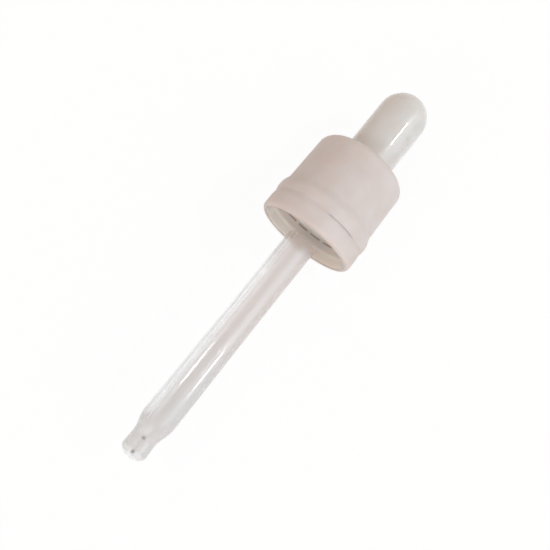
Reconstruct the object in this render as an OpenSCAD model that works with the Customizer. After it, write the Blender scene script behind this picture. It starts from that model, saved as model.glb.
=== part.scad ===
// Dropper pipette: a soft bulb, a screw cap with a tamper-evident band, and a clear tube.
// It lies on the cap's bead, its widest part, with its axis level along X and its tip at -X.

/* [Pipette tube] */
// Outside diameter of the straight tube
tube_d = 7.0; // [6.4:0.1:7.6]
// Wall thickness of the straight tube
tube_wall = 0.95; // [0.6:0.05:1.2]
// Length of tube and tip that shows below the cap's mouth
reach = 55.5; // [40:0.5:80]
// How far the tube stands above the cap's top, inside the bulb
tube_above_cap = 3.0; // [1:0.5:6]
// How much thicker the upper end that the bulb grips is, on the radius
grip_step = 0.2; // [0.1:0.05:0.4]
// Diameter of the rounded tip
tip_d = 5.6; // [5.2:0.1:6.2]
// Radius of the rounded edge at the tip's end
tip_round = 1.6; // [1.0:0.1:2.2]
// Diameter of the waist between the tip and the shoulder
waist_d = 5.44; // [5.0:0.02:5.5]
// Where the waist ends and the shoulder begins, from the end of the tip
waist_end = 4.2; // [3.8:0.1:5]
// Where the shoulder reaches the full tube, from the end of the tip
shoulder_end = 8.8; // [7:0.1:12]
// Diameter of the narrow channel through the tip
jet_d = 0.7; // [0.5:0.1:1.6]
// Length of the narrow channel
jet_l = 4.3; // [3:0.1:5]

/* [Cap] */
// Height of the whole cap
cap_h = 21.0; // [19:0.5:26]
// Diameter of the skirt just above the bead
skirt_d = 21.4; // [20.8:0.1:22]
// How much the draft takes off the skirt's radius towards the top
top_draft = 0.2; // [0:0.05:0.6]
// Radius of the rounded edge around the top
top_round = 2.2; // [1:0.1:3]
// Thickness of the top plate
plate_t = 1.6; // [1.2:0.1:2.5]
// Wall of the skirt, out from the bore between the threads
skirt_wall = 1.5; // [1.3:0.1:1.9]
// How far the bead above the tear slit stands out from the skirt, the widest part
bead_proud = 0.65; // [0.6:0.05:0.9]
// Where the bead's rounded upper edge meets the skirt, from the mouth
bead_hi = 8.2; // [7.6:0.1:9.4]

/* [Tamper-evident band] */
// How far the band stands out from the skirt
band_proud = 0.55; // [0.3:0.05:0.6]
// Wall of the band
band_wall = 1.15; // [0.95:0.05:1.35]
// Radius of the rounded outer edge at the mouth
mouth_round = 0.9; // [0.4:0.1:1]
// Middle of the tear slit, from the mouth
slit_at = 4.2; // [3.9:0.05:4.4]
// Height of the tear slit
slit_h = 0.36; // [0.2:0.02:0.5]
// Height of the shallow groove that the slit lies in
groove_h = 0.9; // [0.7:0.05:1]
// Depth of the shallow groove, from the band's surface
groove_depth = 0.25; // [0.2:0.05:0.45]
// Thickness of the bridges that hold the band to the cap
bridge_t = 0.4; // [0.3:0.05:0.5]
// Width of each bridge, as an angle around the axis
bridge_angle = 5; // [3:0.5:8]
// Number of bridges
bridges = 18; // [8:1:24]
// Turn of the first bridge from the side that the cap lies on
bridge_turn = 8; // [0:1:20]
// Height of the retaining ridge inside the band, from its wall
ridge_h = 0.2; // [0.1:0.05:0.5]

/* [Thread] */
// Pitch of the cap's internal thread
pitch = 3.0; // [2.5:0.1:3.2]
// Number of turns
turns = 1.75; // [1:0.25:2]
// Depth of the thread, from the cap's bore
thread_h = 0.75; // [0.4:0.05:0.9]

/* [Bulb] */
// How far the bulb's base stands out beyond its neck, on the radius
base_step = 0.35; // [0.35:0.05:0.8]
// How much wider the bulb is where its dome begins, on the radius
bulb_swell = 0.05; // [0:0.05:0.4]
// Length of bulb that stands above the cap
bulb_l = 19.5; // [16:0.5:30]
// Wall thickness of the squeezed part
bulb_wall = 1.3; // [0.9:0.1:1.6]
// Wall of the bulb's neck, between the tube and the cap's hole
neck_wall = 1.5; // [1.2:0.1:1.6]
// Gap all round between the flange under the cap's top and the cap's bore
flange_gap = 0.6; // [0.5:0.1:1.7]
// Thickness of the flange
flange_t = 1.8; // [1.2:0.1:2.5]
// Wall of the sleeve that grips the tube below the flange
sleeve_wall = 1.2; // [0.9:0.1:1.5]
// Length of that sleeve
sleeve_l = 2.5; // [1:0.1:4]

/* [Hidden] */
$fn = 96;
eps = 0.01;
arc_steps = 8; // straight steps in a quarter turn of an outline
wave_steps = 14; // straight steps in a half wave of an outline

// Tube and tip, with the cap's mouth at height 0
tube_r = tube_d / 2;
tube_bore_r = tube_r - tube_wall;
tube_top = cap_h + tube_above_cap;
grip_r = tube_r + grip_step;
grip_bare = 0.5; // how far the thicker end shows below the bulb's sleeve
tube_round = 0.3; // rounding of the tube's upper end
tip_r = tip_d / 2;
tip_at = -reach;
waist_r = waist_d / 2;
jet_r = jet_d / 2;
funnel_end = shoulder_end + 0.6;

// Cap
skirt_r = skirt_d / 2;
top_r = skirt_r - top_draft;
bore_r = skirt_r - skirt_wall;
bead_r = skirt_r + bead_proud;
plate_at = cap_h - plate_t;
neck_gap = 0.05; // radial clearance between the bulb's neck and the cap's hole
hole_r = grip_r + neck_wall + neck_gap;
hole_chamfer = 0.2;
corner_r = 0.6; // inside corner under the top plate
band_r = skirt_r + band_proud;
band_bore_r = band_r - band_wall;
groove_r = band_r - groove_depth;
groove_lo = slit_at - groove_h / 2;
groove_hi = slit_at + groove_h / 2;
step_at = slit_at + 0.9; // where the band's wide bore starts to narrow to the thread bore
ridge_lo = slit_at - 2.1; // the retaining ridge rises slowly from the mouth's side
ridge_hi = slit_at - 0.5;
ridge_flat = 0.3;
lead_in = 0.3;

// Thread
thread_at = slit_at + 4.2; // middle of the thread's first ridge
thread_steps = 24; // sections in one turn
thread_root_w = 1.5;
thread_tip_w = 0.6;
thread_sunk = 0.2; // how deep the thread's root lies in the wall
run_out = 60; // angle over which each end of the thread fades away

// Bulb
neck_r = grip_r + neck_wall;
bulb_base_r = neck_r + base_step;
bulb_r = bulb_base_r + bulb_swell;
bulb_end = cap_h + bulb_l;
dome_at = bulb_end - bulb_r;
cavity_r = bulb_r - bulb_wall;
cavity_lo = tube_top + 1.5; // where the grip on the tube has widened to the cavity
flange_r = bore_r - flange_gap;
flange_at = plate_at - flange_t;
flange_round = 0.4;
sleeve_r = grip_r + sleeve_wall;
sleeve_at = flange_at - sleeve_l;
sleeve_chamfer = 0.4;
base_round = 0.3;

// Ends of the whole object, along its axis
mid_at = (tip_at + bulb_end) / 2;

// Points on an arc about c, from one angle to another
function arc(c, r, from, to) =
    let (steps = max(2, ceil(abs(to - from) / 90 * arc_steps)))
    [for (i = [0:steps]) let (a = from + (to - from) * i / steps) c + r * [cos(a), sin(a)]];

// A half wave from point p to point q, level with the axis at both ends
function wave(p, q, steps) =
    [for (i = [0:steps]) [p[0] + (q[0] - p[0]) * (1 - cos(180 * i / steps)) / 2,
                          p[1] + (q[1] - p[1]) * i / steps]];

// Lays down a piece that is modelled upright, with its mouth at 0 and the bulb up
module at_rest() {
    translate([-mid_at, 0, bead_r])
        rotate([0, 90, 0])
            children();
}

// The clear tube, shoulder, waist and tip, with the channel through them
module pipette() {
    outside = concat(
        [[jet_r, tip_at]],
        arc([tip_r - tip_round, tip_at + tip_round], tip_round, -90, 0),
        wave([waist_r, tip_at + waist_end], [tube_r, tip_at + shoulder_end], wave_steps),
        [[tube_r, sleeve_at - grip_bare],
         [grip_r, sleeve_at - grip_bare + grip_step]],
        arc([grip_r - tube_round, tube_top - tube_round], tube_round, 0, 90)
    );
    inside = concat(
        [[tube_bore_r, tube_top]],
        wave([tube_bore_r, tip_at + funnel_end], [jet_r, tip_at + jet_l], wave_steps)
    );
    color("gainsboro", 0.5)
        at_rest()
            rotate_extrude()
                polygon(concat(outside, inside));
}

// Section of the cap through its wall, band and top plate
module cap_section() {
    polygon(concat(
        [[band_bore_r + lead_in, 0]],
        arc([band_r - mouth_round, mouth_round], mouth_round, -90, 0),
        [[band_r, groove_lo - groove_depth],
         [groove_r, groove_lo],
         [groove_r, groove_hi],
         [bead_r, groove_hi + (bead_r - groove_r)]],
        arc([skirt_r, bead_hi - bead_proud], bead_proud, 0, 90),
        arc([top_r - top_round, cap_h - top_round], top_round, 0, 90),
        [[hole_r + hole_chamfer, cap_h],
         [hole_r, cap_h - hole_chamfer],
         [hole_r, plate_at]],
        arc([bore_r - corner_r, plate_at - corner_r], corner_r, 90, 0),
        [[bore_r, step_at + (band_bore_r - bore_r)],
         [band_bore_r, step_at],
         [band_bore_r, ridge_hi],
         [band_bore_r - ridge_h, ridge_hi - ridge_flat],
         [band_bore_r - ridge_h, ridge_hi - 2 * ridge_flat],
         [band_bore_r, ridge_lo],
         [band_bore_r, lead_in]]
    ));
}

// The slit runs all round from outside, and goes through the wall between the bridges
module tear_slit() {
    step = 360 / bridges;
    translate([0, 0, slit_at - slit_h / 2]) {
        rotate_extrude()
            translate([band_bore_r + bridge_t, 0])
                square([band_r, slit_h]);
        for (i = [0:bridges - 1])
            rotate(bridge_turn + i * step + bridge_angle / 2)
                rotate_extrude(angle = step - bridge_angle)
                    translate([band_bore_r - 1, 0])
                        square([1 + bridge_t + eps, slit_h]);
    }
}

// One section of the thread's ridge, full at f = 1 and sunk in the wall at f = 0
function ridge_section(angle, f) =
    let (z = thread_at + pitch * angle / 360,
         root = bore_r + thread_sunk,
         tip = f * (bore_r - thread_h) + (1 - f) * (bore_r + thread_sunk / 2))
    [for (p = [[root, -thread_root_w / 2], [tip, -thread_tip_w / 2],
               [tip, thread_tip_w / 2], [root, thread_root_w / 2]])
        [p[0] * cos(angle), p[0] * sin(angle), z + p[1]]];

// The internal thread, a ridge of four-cornered sections that fades at both ends
module thread() {
    last = ceil(turns * thread_steps);
    sweep = turns * 360;
    points = [for (i = [0:last])
        let (angle = sweep * i / last)
        each ridge_section(angle, min(1, angle / run_out, (sweep - angle) / run_out))];
    sides = [for (i = [0:last - 1], j = [0:3])
        [4 * i + j, 4 * i + 4 + j, 4 * i + 4 + (j + 1) % 4, 4 * i + (j + 1) % 4]];
    polyhedron(points, concat([[0, 1, 2, 3]], sides, [[for (j = [3:-1:0]) 4 * last + j]]));
}

// The screw cap and its tamper-evident band, one moulding
module cap() {
    color("antiquewhite")
        at_rest()
            union() {
                difference() {
                    rotate_extrude()
                        cap_section();
                    tear_slit();
                }
                thread();
            }
}

// The soft teat: dome, neck, sealing flange and the sleeve that grips the tube
module bulb() {
    outside = concat(
        [[grip_r + sleeve_chamfer, sleeve_at],
         [sleeve_r - sleeve_chamfer, sleeve_at],
         [sleeve_r, sleeve_at + sleeve_chamfer],
         [sleeve_r, flange_at]],
        arc([flange_r - flange_round, flange_at + flange_round], flange_round, -90, 0),
        arc([flange_r - flange_round, plate_at - flange_round], flange_round, 0, 90),
        [[neck_r, plate_at],
         [neck_r, cap_h]],
        arc([bulb_base_r - base_round, cap_h + base_round], base_round, -90, 0),
        arc([0, dome_at], bulb_r, 0, 90)
    );
    inside = concat(
        arc([0, dome_at], cavity_r, 90, 0),
        [[cavity_r, cavity_lo],
         [grip_r, tube_top + tube_round],
         [grip_r, sleeve_at + sleeve_chamfer]]
    );
    color("white")
        at_rest()
            rotate_extrude()
                polygon(concat(outside, inside));
}

bulb();
cap();
pipette();
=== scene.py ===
import math

import bpy
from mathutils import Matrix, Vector


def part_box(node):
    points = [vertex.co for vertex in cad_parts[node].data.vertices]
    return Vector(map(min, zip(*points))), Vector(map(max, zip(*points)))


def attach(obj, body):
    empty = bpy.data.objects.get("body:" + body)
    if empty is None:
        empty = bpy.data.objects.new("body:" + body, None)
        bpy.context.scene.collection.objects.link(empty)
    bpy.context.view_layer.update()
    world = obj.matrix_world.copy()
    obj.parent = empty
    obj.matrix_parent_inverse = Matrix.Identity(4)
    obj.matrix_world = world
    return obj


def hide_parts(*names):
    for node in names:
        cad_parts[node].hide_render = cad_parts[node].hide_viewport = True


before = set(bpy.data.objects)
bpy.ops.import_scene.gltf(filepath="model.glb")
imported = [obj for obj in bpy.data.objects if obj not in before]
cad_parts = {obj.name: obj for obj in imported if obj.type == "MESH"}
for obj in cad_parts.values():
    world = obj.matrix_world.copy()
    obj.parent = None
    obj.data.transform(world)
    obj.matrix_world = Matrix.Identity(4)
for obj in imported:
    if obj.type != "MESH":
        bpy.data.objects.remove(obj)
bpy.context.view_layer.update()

mm = 0.001
capLow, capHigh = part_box("cap")
mouth = capLow.x            # the cap's open end
capTop = capHigh.x          # the cap's top, where the bulb stands
tipEnd, tubeTop = (corner.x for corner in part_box("pipette"))
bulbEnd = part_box("bulb")[1].x
axisY = (capLow.y + capHigh.y) / 2
axisZ = (capLow.z + capHigh.z) / 2
print("frame read: the common axis is", round(axisZ / mm, 2), "mm above the floor")

weldGap = 0.002 * mm        # corners nearer than this are merged
tiny = 0.01 * mm
slack = 0.05 * mm           # how far off its place a corner or face may be and still be picked
sharpAngle = 30             # edges that turn more than this, in degrees, stay sharp


# outlines are lists of (place along the axis, radius)
def arcOutline(along, radius, size, start, end, steps):
    points = []
    for i in range(steps + 1):
        angle = math.radians(start + (end - start) * i / steps)
        points.append((along + size * math.sin(angle), radius + size * math.cos(angle)))
    return points


def waveOutline(first, last, steps):
    points = []
    for i in range(steps + 1):
        share = i / steps
        ease = (1 - math.cos(math.pi * share)) / 2
        points.append((first[0] + (last[0] - first[0]) * share,
                       first[1] + (last[1] - first[1]) * ease))
    return points


def deselectAll():
    if bpy.context.object and bpy.context.object.mode != "OBJECT":
        bpy.ops.object.mode_set(mode="OBJECT")
    bpy.ops.object.select_all(action="DESELECT")


def pickOnly(piece):
    deselectAll()
    piece.select_set(True)
    bpy.context.view_layer.objects.active = piece


def pickFaces(piece, wanted):
    bpy.ops.object.mode_set(mode="EDIT")
    bpy.ops.mesh.select_mode(type="FACE")
    bpy.ops.mesh.select_all(action="DESELECT")
    bpy.ops.object.mode_set(mode="OBJECT")
    for face in piece.data.polygons:
        face.select = wanted(face)
    bpy.ops.object.mode_set(mode="EDIT")


def onAxis(along, radius, turn):
    # turn is in degrees from straight down, towards +Y
    angle = math.radians(turn)
    return Vector((along, axisY + radius * math.sin(angle), axisZ - radius * math.cos(angle)))


def aroundAxis(place):
    # the turn and the radius of a place, as onAxis takes them
    across, down = place.y - axisY, axisZ - place.z
    return math.degrees(math.atan2(across, down)), math.hypot(across, down)


def turned(name, outline, slices, startTurn=0.0, closed=True):
    # one corner is drawn out along the outline, and the line is spun about the axis
    deselectAll()
    first = onAxis(*outline[0], startTurn)
    bpy.ops.mesh.primitive_plane_add(size=mm, location=first)
    piece = bpy.context.object
    piece.name = piece.data.name = name
    bpy.ops.object.transform_apply(location=True, rotation=True, scale=True)
    bpy.ops.object.mode_set(mode="EDIT")
    bpy.ops.mesh.select_mode(type="VERT")
    bpy.ops.mesh.select_all(action="SELECT")
    bpy.ops.mesh.merge(type="CENTER")
    here = first
    for along, radius in outline[1:]:
        there = onAxis(along, radius, startTurn)
        bpy.ops.mesh.extrude_region_move(TRANSFORM_OT_translate={"value": there - here})
        here = there
    bpy.ops.mesh.select_all(action="SELECT")
    if closed:
        bpy.ops.object.mode_set(mode="OBJECT")
        for corner in piece.data.vertices:
            corner.select = corner.index in (0, len(piece.data.vertices) - 1)
        for edge in piece.data.edges:
            edge.select = False
        bpy.ops.object.mode_set(mode="EDIT")
        bpy.ops.mesh.edge_face_add()
        bpy.ops.mesh.select_all(action="SELECT")
    bpy.ops.mesh.spin(steps=slices, angle=2 * math.pi, center=(0, axisY, axisZ), axis=(1, 0, 0))
    bpy.ops.mesh.select_all(action="SELECT")
    bpy.ops.mesh.remove_doubles(threshold=weldGap)
    bpy.ops.mesh.normals_make_consistent(inside=False)
    bpy.ops.object.mode_set(mode="OBJECT")
    return piece


def finished(piece, node, finish):
    pickOnly(piece)
    bpy.ops.object.shade_smooth_by_angle(angle=math.radians(sharpAngle))
    piece.data.materials.clear()
    piece.data.materials.append(finish)
    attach(piece, "root")
    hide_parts(node)
    print(piece.name, "made:", len(piece.data.polygons), "faces")


def paint(red, green, blue):
    # a colour as a paint chart gives it, 0 to 255, made linear
    def linear(level):
        share = level / 255
        return share / 12.92 if share <= 0.04045 else ((share + 0.055) / 1.055) ** 2.4
    return (linear(red), linear(green), linear(blue), 1.0)


class Wire:
    def __init__(self, tree, socket):
        self.tree, self.socket = tree, socket

    def maths(self, operation, first, second):
        return self.tree.add("ShaderNodeMath", {"operation": operation}, {0: first, 1: second})

    def __add__(self, other):
        return self.maths("ADD", self, other)

    def __radd__(self, other):
        return self.maths("ADD", other, self)

    def __sub__(self, other):
        return self.maths("SUBTRACT", self, other)

    def __rsub__(self, other):
        return self.maths("SUBTRACT", other, self)

    def __mul__(self, other):
        return self.maths("MULTIPLY", self, other)

    def __rmul__(self, other):
        return self.maths("MULTIPLY", other, self)


class NodeTree:
    def __init__(self, owner):
        owner.use_nodes = True
        self.nodes = owner.node_tree.nodes
        self.links = owner.node_tree.links
        self.nodes.clear()

    def add(self, kind, settings=None, sockets=None, output=0):
        node = self.nodes.new(kind)
        for name, value in (settings or {}).items():
            setattr(node, name, value)
        for name, value in (sockets or {}).items():
            if isinstance(value, Wire):
                self.links.new(value.socket, node.inputs[name])
            else:
                node.inputs[name].default_value = value
        return Wire(self, node.outputs[output]) if len(node.outputs) else node

    def mixed(self, share, first, second):
        return self.add("ShaderNodeMix", {"data_type": "RGBA"}, {0: share, 6: first, 7: second}, 2)

    def ramp(self, value, low, high):
        # 0 at low and 1 at high, smoothly, and level outside them
        return self.add("ShaderNodeMapRange", {"interpolation_type": "SMOOTHSTEP"},
                        {0: value, 1: low, 2: high, 3: 0.0, 4: 1.0})

    def place(self):
        return self.add("ShaderNodeTexCoord", output=3)

    def coordinate(self, axis):
        # 0 runs along the object, 1 across it and 2 up
        return self.add("ShaderNodeSeparateXYZ", {}, {0: self.place()}, axis)

    def noise(self, scale, detail):
        return self.add("ShaderNodeTexNoise", {}, {"Vector": self.place(), "Scale": scale,
                                                   "Detail": detail, "Roughness": 0.5})

    def bump(self, height, strength, distance):
        return self.add("ShaderNodeBump", {},
                        {"Strength": strength, "Distance": distance, "Height": height})

    def surface(self, shader):
        self.add("ShaderNodeOutputMaterial", {}, {0: shader})


gapShadeLook = {
    "roughness": 0.6, "roughnessSpread": 0.2,
    "grain": 900.0, "bump": 0.1, "bumpDepth": 0.05 * mm,
}
cloudEdges = (0.35, 0.7)    # where the clouds in a plastic turn from its colour to the darker one


def gapShadeFinish(name, light, dark):
    # painted shade: plastic at the bottom of a narrow gap, painted dark as little light reaches it
    look = gapShadeLook
    material = bpy.data.materials.new(name)
    tree = NodeTree(material)
    grain = tree.noise(look["grain"], detail=2.0)
    tree.surface(tree.add("ShaderNodeBsdfPrincipled", {}, {
        "Base Color": tree.mixed(grain, light, dark),
        "Roughness": look["roughness"] + look["roughnessSpread"] * grain,
        "Normal": tree.bump(grain, look["bump"], look["bumpDepth"]),
    }))
    return material


capLook = {
    "colour": paint(212, 206, 205),
    "darker": paint(207, 199, 196),
    # painted light: the cap's inside is painted much lighter than its outside, standing in for
    # light that comes through the wall
    "inside": paint(255, 248, 244),
    "insideLitDarker": paint(252, 243, 237),
    # painted shade: the cut's pockets are painted darker than the cap
    "slit": paint(228, 214, 206),
    "slitShadeDarker": paint(192, 178, 170),
    "roughness": 0.5, "roughnessSpread": 0.12, "shine": 0.25, "ior": 1.49,
    "glow": 0.75,               # share of light that runs under the surface
    "glowDepth": 1.7 * mm, "glowSpread": (1.0, 0.75, 0.6),
    "clouds": 160.0, "grain": 2600.0, "waves": 55.0,        # the patterns' scales
    "waveHeight": 3.0,          # how much higher the waves are than the grain
    "bump": 0.1, "bumpDepth": 0.05 * mm,
}


def capFinish(name, look, light, dark):
    material = bpy.data.materials.new(name)
    tree = NodeTree(material)
    cloud = tree.noise(look["clouds"], detail=4.0)
    grain = tree.noise(look["grain"], detail=2.0)
    waves = tree.noise(look["waves"], detail=2.0)
    height = grain + look["waveHeight"] * waves
    tree.surface(tree.add("ShaderNodeBsdfPrincipled", {}, {
        "Base Color": tree.mixed(tree.ramp(cloud, *cloudEdges), light, dark),
        "Roughness": look["roughness"] + look["roughnessSpread"] * (cloud - 0.5),
        "Subsurface Weight": look["glow"],
        "Subsurface Radius": look["glowSpread"],
        "Subsurface Scale": look["glowDepth"],
        "Specular IOR Level": look["shine"],
        "IOR": look["ior"],
        "Normal": tree.bump(height, look["bump"], look["bumpDepth"]),
    }))
    return material


bulbLook = {
    "colour": paint(213, 211, 210),
    "darker": paint(206, 201, 197),
    "roughness": 0.34, "roughnessSpread": 0.12, "ior": 1.43,
    "glow": 0.85, "glowDepth": 3.0 * mm, "glowSpread": (1.0, 0.75, 0.6),
    "coat": 0.6, "coatSpread": 0.3, "coatRoughness": 0.03,
    "clouds": 110.0, "grain": 1700.0, "bump": 0.008, "bumpDepth": 0.03 * mm,
}


def bulbFinish(look):
    material = bpy.data.materials.new("soft_bulb_silicone")
    tree = NodeTree(material)
    cloud = tree.noise(look["clouds"], detail=2.0)
    grain = tree.noise(look["grain"], detail=3.0)
    tree.surface(tree.add("ShaderNodeBsdfPrincipled", {}, {
        "Base Color": tree.mixed(tree.ramp(cloud, *cloudEdges), look["colour"], look["darker"]),
        "Roughness": look["roughness"] + look["roughnessSpread"] * (cloud - 0.5),
        "Subsurface Weight": look["glow"],
        "Subsurface Radius": look["glowSpread"],
        "Subsurface Scale": look["glowDepth"],
        "IOR": look["ior"],
        "Coat Weight": look["coat"] + look["coatSpread"] * cloud,
        "Coat Roughness": look["coatRoughness"],
        "Normal": tree.bump(grain, look["bump"], look["bumpDepth"]),
    }))
    return material


tubeLook = {
    "clear": paint(247, 248, 250),
    "clearDarker": paint(241, 243, 246),
    "haze": paint(208, 194, 187),
    "hazeTip": paint(205, 201, 199),
    # painted shade: the narrow channel's two ends are painted dark
    "channel": paint(96, 88, 82),
    "channelShadeDarker": paint(62, 55, 50),
    "roughness": 0.015, "roughnessSpread": 0.02, "hazeRoughness": 0.25,
    "ior": 1.2, "hazeIor": 1.49, "coatRoughness": 0.015,
    "clouds": 120.0, "grain": 900.0, "bump": 0.004, "bumpDepth": 0.05 * mm,
    "clearSolid": 0.4,          # the rest of the light passes straight through the clear plastic
    "faint": 0.97,              # how far the tube fades into the cap's light just inside the mouth
    "hazeLow": 0.36,            # share of haze near the tip
    "hazeHigh": 0.27,           # share of haze just below the cap
    "hazeInside": 0.04,         # share of haze inside the cap, kept low as painted light so the tube doesn't turn dark in the cap's shade
    "hazeInTip": 0.48,          # share of haze in the thick tip
    # the tube's plastic is hazy; painted shade and light: that haze is laid in a darker band along
    # one side of the tube, with a lighter strip on the other side, standing in for the bands that
    # light and what lies behind make in the tube
    "clearLitSide": 0.3,           # painted light: the clear side, left lighter, has this part of the haze
    "hazyShadeSide": 1.3,            # painted shade: the hazy side, a darker band along the tube, has this much more
    "thinner": 0.4,             # painted light: what the far edge of the hazy side loses near the tip
    "nearCap": 0.6,             # painted shade: what the clear side gains just below the cap
    "inWall": 0.1,              # what is left of the haze under the outer skin
    "cloudy": 0.02,             # how much the clouds add to it or take away
    # where each of them starts and ends: from the tip's end, from the mouth, across, from the axis
    "risesFromTip": 12 * mm, "tipEdges": (10.5 * mm, 6.5 * mm),
    "risesToMouth": 12 * mm, "nearEdges": (-11 * mm, -5 * mm),
    "insideEdges": (-0.8 * mm, 0.4 * mm), "deepEdges": (5 * mm, 9 * mm),
    "hazyShadeEdges": (1.9 * mm, 0.9 * mm), "thinEdges": (-1.4 * mm, -2.4 * mm),
    "skinEdges": (2.6 * mm, 2.7 * mm),
}


def tubeFinish(look):
    material = bpy.data.materials.new("clear_tube_plastic")
    tree = NodeTree(material)
    cloud = tree.noise(look["clouds"], detail=3.0)
    grain = tree.noise(look["grain"], detail=2.0)
    bump = tree.bump(grain, look["bump"], look["bumpDepth"])
    along, across, up = tree.coordinate(0), tree.coordinate(1), tree.coordinate(2) - axisZ

    def alongRamp(start, edges):
        return tree.ramp(along, start + edges[0], start + edges[1])

    rise = tree.ramp(along, tipEnd + look["risesFromTip"], mouth - look["risesToMouth"])
    inside = alongRamp(mouth, look["insideEdges"])
    deep = alongRamp(mouth, look["deepEdges"])
    solid = 1 - look["faint"] * inside * (1 - deep)
    clear = tree.add("ShaderNodeBsdfPrincipled", {}, {
        "Base Color": tree.mixed(cloud, look["clear"], look["clearDarker"]),
        "Roughness": look["roughness"] + look["roughnessSpread"] * cloud,
        "Transmission Weight": 1.0,
        "IOR": look["ior"],
        "Coat Weight": 1.0,
        "Coat Roughness": look["coatRoughness"],
        "Alpha": look["clearSolid"] * solid,
        "Normal": bump,
    })
    hazy = tree.add("ShaderNodeBsdfPrincipled", {}, {
        "Base Color": tree.mixed(rise, look["hazeTip"], look["haze"]),
        "Roughness": look["hazeRoughness"],
        "Alpha": solid,
        "IOR": look["hazeIor"],
        "Coat Weight": 1.0,
        "Coat Roughness": look["coatRoughness"],
        "Normal": bump,
    })
    tip = alongRamp(tipEnd, look["tipEdges"])
    nearCap = alongRamp(mouth, look["nearEdges"])
    innerSkin, outerSkin = look["skinEdges"]
    skin = tree.ramp(across * across + up * up, innerSkin ** 2, outerSkin ** 2)
    # painted shade: haze gathers in a darker band along one side, and the other side stays lighter
    hazyShadeSide = tree.ramp(across, *look["hazyShadeEdges"])
    thin = tree.ramp(across, *look["thinEdges"])
    sides = (look["clearLitSide"] + look["hazyShadeSide"] * hazyShadeSide - look["thinner"] * thin * (1 - rise)
             + look["nearCap"] * nearCap * (1 - hazyShadeSide))
    share = look["hazeLow"] + (look["hazeHigh"] - look["hazeLow"]) * rise
    share = share * sides * (1 - tip) + tip * look["hazeInTip"]
    share = share * (look["inWall"] + (1 - look["inWall"]) * skin)
    # painted light: inside the cap the haze is taken off, so the shaded tube there doesn't look
    # dark
    share = share * (1 - inside) + look["hazeInside"] * inside + look["cloudy"] * (cloud - 0.5)
    tree.surface(tree.add("ShaderNodeMixShader", {}, {0: share, 1: clear, 2: hazy}))
    return material


tube = {
    "radius": 3.5 * mm, "wall": 0.95 * mm, "slices": 128,
    "tip": 2.8 * mm, "tipRound": 1.6 * mm, "tipFlat": 0.2 * mm,
    "waist": 2.72 * mm, "waistEnd": 4.2 * mm,
    "shoulderEnd": 8.8 * mm, "shoulderFlat": 1.5 * mm,
    "flare": 0.16 * mm, "flareEnd": 36 * mm,    # the tube is a little wider towards its shoulder
    "jet": 0.35 * mm, "jetLength": 4.3 * mm, "jetRound": 0.2 * mm,
    "nearSpot": (0.8 * mm, 1.3 * mm), "farSpot": (4.05 * mm, 4.6 * mm),     # where the channel's ends are painted dark, painted shade
    "boreRound": 0.6 * mm,      # the bore starts to close in this far behind the shoulder
    "ring": 45 * mm, "boreRing": 25 * mm,       # extra rings that keep the faces short
    "grip": 3.7 * mm, "gripEdges": (0.5 * mm, 0.3 * mm), "topRound": 0.3 * mm,
}


def sleeveEnd():
    # where the bulb's sleeve ends inside the cap, and the tube's wider grip starts
    return capTop - cap["plate"] - bulb["flangeThickness"] - bulb["sleeveLength"]


def makeTube(t):
    bore = t["radius"] - t["wall"]
    wide = t["radius"] + t["flare"]
    shoulder = tipEnd + t["shoulderEnd"]
    (nearLow, nearHigh), (farLow, farHigh) = t["nearSpot"], t["farSpot"]
    gripLow, gripHigh = t["gripEdges"]
    outline = [(tipEnd + place, t["jet"])
               for place in (t["jetLength"], farLow, nearHigh, nearLow, t["jetRound"])]
    outline += arcOutline(tipEnd + t["jetRound"], t["jet"] + t["jetRound"], t["jetRound"],
                          -180, -90, steps=5)[1:]
    outline += arcOutline(tipEnd + t["tipRound"], t["tip"] - t["tipRound"], t["tipRound"],
                          -90, 0, steps=16)
    outline += waveOutline((tipEnd + t["tipRound"] + t["tipFlat"], t["tip"]),
                           (tipEnd + t["waistEnd"], t["waist"]), steps=8)
    outline += waveOutline((tipEnd + t["waistEnd"], t["waist"]), (shoulder, wide), steps=26)[1:]
    outline += waveOutline((shoulder + t["shoulderFlat"], wide),
                           (tipEnd + t["flareEnd"], t["radius"]), steps=14)
    outline += [(tipEnd + t["ring"], t["radius"]),
                (sleeveEnd() - gripLow, t["radius"]), (sleeveEnd() - gripHigh, t["grip"])]
    outline += arcOutline(tubeTop - t["topRound"], t["grip"] - t["topRound"], t["topRound"],
                          0, 90, steps=6)
    outline += [(tubeTop, bore), (mouth, bore), (tipEnd + t["boreRing"], bore)]
    outline += waveOutline((shoulder + t["boreRound"], bore),
                           (tipEnd + t["jetLength"] + 2 * tiny, t["jet"]), steps=24)
    piece = turned("pipette_tube", outline, t["slices"])
    look = tubeLook
    finished(piece, "pipette", tubeFinish(look))
    # painted shade: the two ends of the narrow channel are painted dark, as they catch hardly any
    # light
    piece.data.materials.append(gapShadeFinish("channel_shade", look["channel"], look["channelShadeDarker"]))
    for face in piece.data.polygons:
        along = face.center.x - tipEnd
        radius = aroundAxis(face.center)[1]
        inSpot = nearLow < along < nearHigh or farLow < along < farHigh
        if inSpot and radius < t["jet"] + 2 * slack:
            face.material_index = 1


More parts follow.
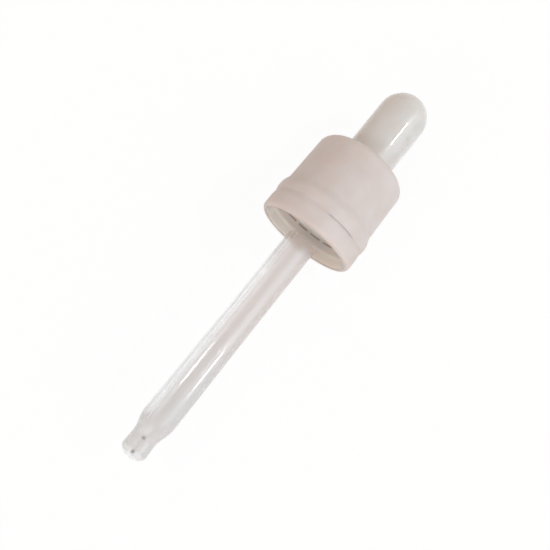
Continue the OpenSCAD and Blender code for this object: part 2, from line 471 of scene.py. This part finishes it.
cap = {
    "skirt": 10.7 * mm, "skirtTop": 10.5 * mm, "topRound": 2.2 * mm, "slices": 144,
    "plate": 1.6 * mm, "plateRound": 0.6 * mm, "hole": 5.25 * mm, "holeEdge": 0.2 * mm,
    "bore": 9.2 * mm, "boreStep": 0.9 * mm,     # the narrower bore starts this far above the slit
    "bead": 11.35 * mm, "beadHigh": 8.2 * mm, "beadEdges": (1.9 * mm, 0.7 * mm),
    "band": 11.25 * mm, "bandBore": 10.1 * mm, "mouthRound": 0.9 * mm, "mouthEdge": 0.3 * mm,
    "groove": 11.14 * mm, "grooveHeight": 0.9 * mm, "grooveEdges": (0.6 * mm, 0.9 * mm),
    "slit": 4.2 * mm, "slitHeight": 0.36 * mm, "slitDepth": 0.25 * mm,
    "openHeight": 1.25,         # where the slit has opened it is this much wider than cut
    "fadeHeight": 0.3,          # beside that it narrows to this part
    "lineHeight": 0.15,         # and further on to this part again, a hair line
    "lineDepth": 0.03 * mm,     # all that is left of the slit's depth beside the opened part
    "openFrom": 192.0, "openTo": 228.0, "openFade": 6.0,    # in degrees from straight down
    "bridges": 18, "bridgeAngle": 5.0, "bridgeTurn": 8.0,
    "pocket": 0.3 * mm, "pocketAt": 4.55 * mm,  # the cuts between the bridges, seen from inside
    "ridge": 0.2 * mm, "ridgeLow": 2.1 * mm, "ridgeHigh": 0.5 * mm,     # below the slit
    "ridgeCrest": (0.8 * mm, 0.9 * mm),         # below the ridge's upper foot
}
thread = {
    "pitch": 3.0 * mm, "turns": 1.75, "start": 8.4 * mm, "stepsPerTurn": 48,
    "height": 0.75 * mm, "root": 1.5 * mm, "crest": 0.6 * mm,
    "sunk": 0.2 * mm, "runOut": 60.0,
}


def around(middle, height):
    return middle - height / 2, middle + height / 2


def makeCap(c):
    height = capTop - mouth
    bore, bandBore = c["bore"], c["bandBore"]
    slitLow, slitHigh = around(c["slit"], c["slitHeight"])
    pocketLow, pocketHigh = around(c["pocketAt"], c["slitHeight"])
    grooveLow, grooveHigh = around(c["slit"], c["grooveHeight"])
    slitFloor = c["groove"] - c["slitDepth"]
    step = c["slit"] + c["boreStep"]
    ridgeLow, ridgeHigh = c["slit"] - c["ridgeLow"], c["slit"] - c["ridgeHigh"]
    crestHigh, crestLow = (ridgeHigh - place for place in c["ridgeCrest"])
    outline = [(0, bandBore + c["mouthEdge"])]
    outline += arcOutline(c["mouthRound"], c["band"] - c["mouthRound"], c["mouthRound"],
                          -90, 0, steps=10)
    outline += waveOutline((grooveLow - c["grooveEdges"][0], c["band"]),
                           (slitLow, c["groove"]), steps=9)
    outline += [(slitLow, slitFloor), (slitHigh, slitFloor)]
    outline += waveOutline((slitHigh, c["groove"]),
                           (grooveHigh + c["grooveEdges"][1], c["bead"]), steps=11)
    outline += waveOutline((c["beadHigh"] - c["beadEdges"][0], c["bead"]),
                           (c["beadHigh"] + c["beadEdges"][1], c["skirt"]), steps=14)
    outline += arcOutline(height - c["topRound"], c["skirtTop"] - c["topRound"], c["topRound"],
                          0, 90, steps=14)
    outline += [(height, c["hole"] + c["holeEdge"]), (height - c["holeEdge"], c["hole"]),
                (height - c["plate"], c["hole"])]
    outline += arcOutline(height - c["plate"] - c["plateRound"], bore - c["plateRound"],
                          c["plateRound"], 90, 0, steps=6)
    outline += [(step + bandBore - bore, bore), (step, bandBore),
                (pocketHigh, bandBore), (pocketLow, bandBore)]
    outline += waveOutline((ridgeHigh, bandBore), (crestHigh, bandBore - c["ridge"]), steps=6)
    outline += waveOutline((crestLow, bandBore - c["ridge"]), (ridgeLow, bandBore), steps=5)
    outline += [(c["mouthEdge"], bandBore)]
    outline = [(mouth + along, radius) for along, radius in outline]
    piece = turned("screw_cap", outline, c["slices"], c["bridgeTurn"] - c["bridgeAngle"] / 2)
    cutPockets(piece, c, pocketLow, pocketHigh)
    narrowSlit(piece, c, slitFloor)
    ridge = makeThread(thread, c)
    pickOnly(piece)
    ridge.select_set(True)
    bpy.ops.object.join()
    look = capLook
    finished(piece, "cap",
             capFinish("waxy_cap_plastic", look, look["colour"], look["darker"]))
    # painted shade: the cut's pockets are painted darker, as they catch little light; painted
    # light: the inside is painted lighter, standing in for what comes through the wall
    piece.data.materials.append(gapShadeFinish("slit_shade", look["slit"], look["slitShadeDarker"]))
    piece.data.materials.append(
        capFinish("cap_inside_painted_light", look, look["inside"], look["insideLitDarker"]))
    facing = 0.3                # how squarely a face looks at the axis or out of the mouth
    for face in piece.data.polygons:
        along = face.center.x - mouth
        radius = aroundAxis(face.center)[1]
        outward = Vector((0, face.center.y - axisY, face.center.z - axisZ)) / radius
        inCut = pocketLow - tiny < along < pocketHigh + tiny
        if inCut and bandBore + slack < radius < bandBore + c["pocket"] + slack:
            face.material_index = 1
        elif radius < bandBore + 2 * slack and (face.normal.dot(outward) < -facing
                                                or face.normal.x < -facing):
            face.material_index = 2


def cutPockets(piece, c, low, high):
    # the wall is cut between the bridges; seen from inside, each cut is a narrow pocket
    spacing = 360 / c["bridges"]
    deeper = 1 + c["pocket"] / c["bandBore"]

    def inPocket(face):
        turn, radius = aroundAxis(face.center)
        turn = turn - c["bridgeTurn"] + c["bridgeAngle"] / 2
        onWall = abs(radius - c["bandBore"]) < 4 * slack
        return onWall and low < face.center.x - mouth < high and turn % spacing > c["bridgeAngle"]

    pickOnly(piece)
    pickFaces(piece, inPocket)
    bpy.ops.mesh.extrude_region_move(TRANSFORM_OT_translate={"value": (0, 0, 0)})
    bpy.ops.transform.resize(value=(1, deeper, deeper), center_override=(mouth, axisY, axisZ))
    bpy.ops.object.mode_set(mode="OBJECT")


def narrowSlit(piece, c, slitFloor):
    # from outside the cut is a shallow hair line all round, except where it has opened a little
    low, high = c["openFrom"], c["openTo"]
    shallow = (c["groove"] - c["lineDepth"]) / slitFloor
    everywhere = -180.0         # a reach that leaves nothing out
    passes = ((everywhere, c["openHeight"], 1), (0.0, c["fadeHeight"], 1),
              (c["openFade"], c["lineHeight"], 1), (0.0, 1, shallow))
    # the slit's corners and no others lie this near to its middle, also once it is wider
    slitReach = 0.7 * c["slitHeight"]
    pickOnly(piece)
    bpy.ops.object.mode_set(mode="EDIT")
    bpy.ops.mesh.select_mode(type="VERT")
    for reach, size, lift in passes:
        bpy.ops.mesh.select_all(action="DESELECT")
        bpy.ops.object.mode_set(mode="OBJECT")
        for corner in piece.data.vertices:
            turn, radius = aroundAxis(corner.co)
            inSlit = abs(corner.co.x - mouth - c["slit"]) < slitReach
            outer = radius > slitFloor - slack and (lift == 1 or radius < slitFloor + slack)
            corner.select = inSlit and outer and not low - reach < turn % 360 < high + reach
        bpy.ops.object.mode_set(mode="EDIT")
        bpy.ops.transform.resize(value=(size, lift, lift),
                                 center_override=(mouth + c["slit"], axisY, axisZ))
    bpy.ops.object.mode_set(mode="OBJECT")


def makeThread(t, c):
    # a four-cornered section is drawn up the helix in small steps, each one extruded and turned
    steps = round(t["turns"] * t["stepsPerTurn"])
    angle = 2 * math.pi / t["stepsPerTurn"]
    deselectAll()
    root, tip = c["bore"] + t["sunk"], c["bore"] - t["height"]
    section = [(-t["root"] / 2, root), (-t["crest"] / 2, tip),
               (t["crest"] / 2, tip), (t["root"] / 2, root)]
    bpy.ops.mesh.primitive_plane_add(size=mm, location=(mouth + t["start"], axisY, axisZ - root))
    piece = bpy.context.object
    piece.name = piece.data.name = "thread_ridge"
    bpy.ops.object.transform_apply(location=True, rotation=True, scale=True)
    # a plane's corners run in rows, and the section's go round
    for corner, order in zip(piece.data.vertices, (0, 1, 3, 2)):
        along, radius = section[order]
        corner.co = onAxis(mouth + t["start"] + along, radius, 0)
    bpy.ops.object.mode_set(mode="EDIT")
    bpy.ops.mesh.select_mode(type="FACE")
    bpy.ops.mesh.select_all(action="SELECT")
    for i in range(steps):
        bpy.ops.mesh.extrude_region_move(
            TRANSFORM_OT_translate={"value": (t["pitch"] / t["stepsPerTurn"], 0, 0)})
        # with no window this operator turns the other way
        bpy.ops.transform.rotate(value=-angle, orient_axis="X", orient_type="GLOBAL",
                                 center_override=(0, axisY, axisZ))
    bpy.ops.mesh.select_all(action="SELECT")
    bpy.ops.mesh.normals_make_consistent(inside=False)
    bpy.ops.object.mode_set(mode="OBJECT")
    # both ends of the ridge run out into the wall
    sweep = 360 * t["turns"]
    for corner in piece.data.vertices:
        radius = aroundAxis(corner.co)[1]
        turn = sweep * (corner.index // len(section)) / steps
        share = max(0.0, min(1.0, turn / t["runOut"], (sweep - turn) / t["runOut"]))
        if radius < (root + tip) / 2 and share < 1:
            grow = (tip * share + (root - t["sunk"] / 2) * (1 - share)) / radius
            corner.co.y = axisY + (corner.co.y - axisY) * grow
            corner.co.z = axisZ + (corner.co.z - axisZ) * grow
    return piece


bulb = {
    "base": 5.55 * mm, "radius": 5.6 * mm, "wall": 1.3 * mm, "slices": 128,
    "baseRound": 0.3 * mm, "neck": 5.2 * mm,
    "flange": 8.6 * mm, "flangeThickness": 1.8 * mm, "edgeRound": 0.4 * mm,
    "sleeve": 4.9 * mm, "sleeveLength": 2.5 * mm,
    "gripEnd": 0.3 * mm, "cavityStart": 1.5 * mm,   # beyond the tube's upper end
}


def makeBulb(b):
    plate = capTop - cap["plate"]
    flange = plate - b["flangeThickness"]
    sleeve = sleeveEnd()
    dome = bulbEnd - b["radius"]
    cavity = b["radius"] - b["wall"]
    edge, grip = b["edgeRound"], tube["grip"]
    outline = arcOutline(dome, 0, b["radius"], 90, 0, steps=26)
    outline += arcOutline(capTop + b["baseRound"], b["base"] - b["baseRound"], b["baseRound"],
                          0, -90, steps=8)
    outline += [(capTop, b["neck"]), (plate, b["neck"])]
    outline += arcOutline(plate - edge, b["flange"] - edge, edge, 90, 0, steps=5)
    outline += arcOutline(flange + edge, b["flange"] - edge, edge, 0, -90, steps=5)
    outline += [(flange, b["sleeve"]), (sleeve + edge, b["sleeve"]),
                (sleeve, b["sleeve"] - edge), (sleeve, grip + edge),
                (sleeve + edge, grip), (tubeTop + b["gripEnd"], grip),
                (tubeTop + b["cavityStart"], cavity)]
    outline += arcOutline(dome, 0, cavity, 0, 90, steps=22)
    piece = turned("squeeze_bulb", outline, b["slices"], closed=False)
    finished(piece, "bulb", bulbFinish(bulbLook))


makeTube(tube)
makeCap(cap)
makeBulb(bulb)


room = {
    "floorSize": 4.0,           # metres
    "floor": paint(230, 222, 214),      # what the floor throws back on the object
    "shadow": 0.06,             # how far a shadow darkens the floor
    "sky": 0.51,
    "skyColour": (1.0, 0.88, 0.785, 1.0),
}
# each sun: the direction its light comes from, strength, size in degrees, colour
suns = {
    "key": ((0.2, -0.9, 0.5), 0.88, 50, (0.69, 0.88, 1.0)),
    "mouthLight": ((-0.8, 0.05, 0.5), 0.85, 45, (0.96, 0.95, 0.97)),
    "fill": ((0.5, 0.8, 0.5), 0.18, 60, (1, 0.65, 0.4)),
    "bulbAccent": ((0.434, -0.625, 0.645), 0.5, 5.6, (1, 1, 1)),
    "tubeAccent": ((-0.027, -0.877, 0.478), 0.33, 5.9, (1, 1, 1)),
    "tubeAccentFar": ((-0.027, 0.437, 0.898), 0.28, 5.9, (1, 1, 1)),
}
view = {
    "distance": 118.85 * mm, "lens": 37.49, "sensor": 36,
    "heading": 38.25, "elevation": 78.06,       # degrees, looking down
    "aim": (mouth - 9.77 * mm, axisY + 0.02 * mm, axisZ),
    "nearest": 1 * mm, "farthest": 10,
}


def lookedAt(tree):
    # 1 where the camera sees a surface, straight on or through glass or gloss
    path = tree.add("ShaderNodeLightPath").socket.node
    camera, gloss, through = [Wire(tree, path.outputs[name]) for name in
                              ("Is Camera Ray", "Is Glossy Ray", "Is Transmission Ray")]
    either = tree.add("ShaderNodeMath", {"operation": "MAXIMUM"}, {0: camera, 1: gloss})
    return tree.add("ShaderNodeMath", {"operation": "MAXIMUM"}, {0: either, 1: through})


def makeRoom(r):
    deselectAll()
    bpy.ops.mesh.primitive_plane_add(size=r["floorSize"], location=(0, 0, 0))
    floor = bpy.context.object
    floor.name = "floor"
    material = bpy.data.materials.new("pale_floor")
    tree = NodeTree(material)
    looked = lookedAt(tree)
    white = (1, 1, 1, 1)
    matte = tree.add("ShaderNodeBsdfDiffuse", {}, {"Color": tree.mixed(looked, r["floor"], white)})
    glow = tree.add("ShaderNodeEmission", {}, {"Color": white, "Strength": 1.0})
    share = looked * (1 - r["shadow"])
    tree.surface(tree.add("ShaderNodeMixShader", {}, {0: share, 1: matte, 2: glow}))
    floor.data.materials.append(material)

    world = bpy.data.worlds.new("studio")
    bpy.context.scene.world = world
    sky = NodeTree(world)
    looked = lookedAt(sky)
    back = sky.add("ShaderNodeBackground", {}, {
        "Color": sky.mixed(looked, r["skyColour"], white),
        "Strength": r["sky"] + (1 - r["sky"]) * looked,
    })
    sky.add("ShaderNodeOutputWorld", {}, {0: back})


def makeSun(name, towards, strength, size, colour):
    deselectAll()
    bpy.ops.object.light_add(type="SUN", location=Vector(towards))
    sun = bpy.context.object
    sun.name = name
    sun.data.energy, sun.data.angle, sun.data.color = strength, math.radians(size), colour
    sun.rotation_euler = Vector(towards).to_track_quat("Z", "Y").to_euler()


def makeCamera(v):
    deselectAll()
    h, e = math.radians(v["heading"]), math.radians(v["elevation"])
    look = Vector((math.cos(h) * math.cos(e), math.sin(h) * math.cos(e), -math.sin(e)))
    bpy.ops.object.camera_add(location=Vector(v["aim"]) - look * v["distance"])
    camera = bpy.context.object
    camera.rotation_euler = look.to_track_quat("-Z", "Y").to_euler()
    camera.data.lens, camera.data.sensor_width = v["lens"], v["sensor"]
    camera.data.clip_start, camera.data.clip_end = v["nearest"], v["farthest"]
    bpy.context.scene.camera = camera


makeRoom(room)
for name, (towards, strength, size, colour) in suns.items():
    makeSun(name, towards, strength, size, colour)
makeCamera(view)
bpy.context.scene.view_settings.view_transform = "Standard"
print("room, lights and camera made")
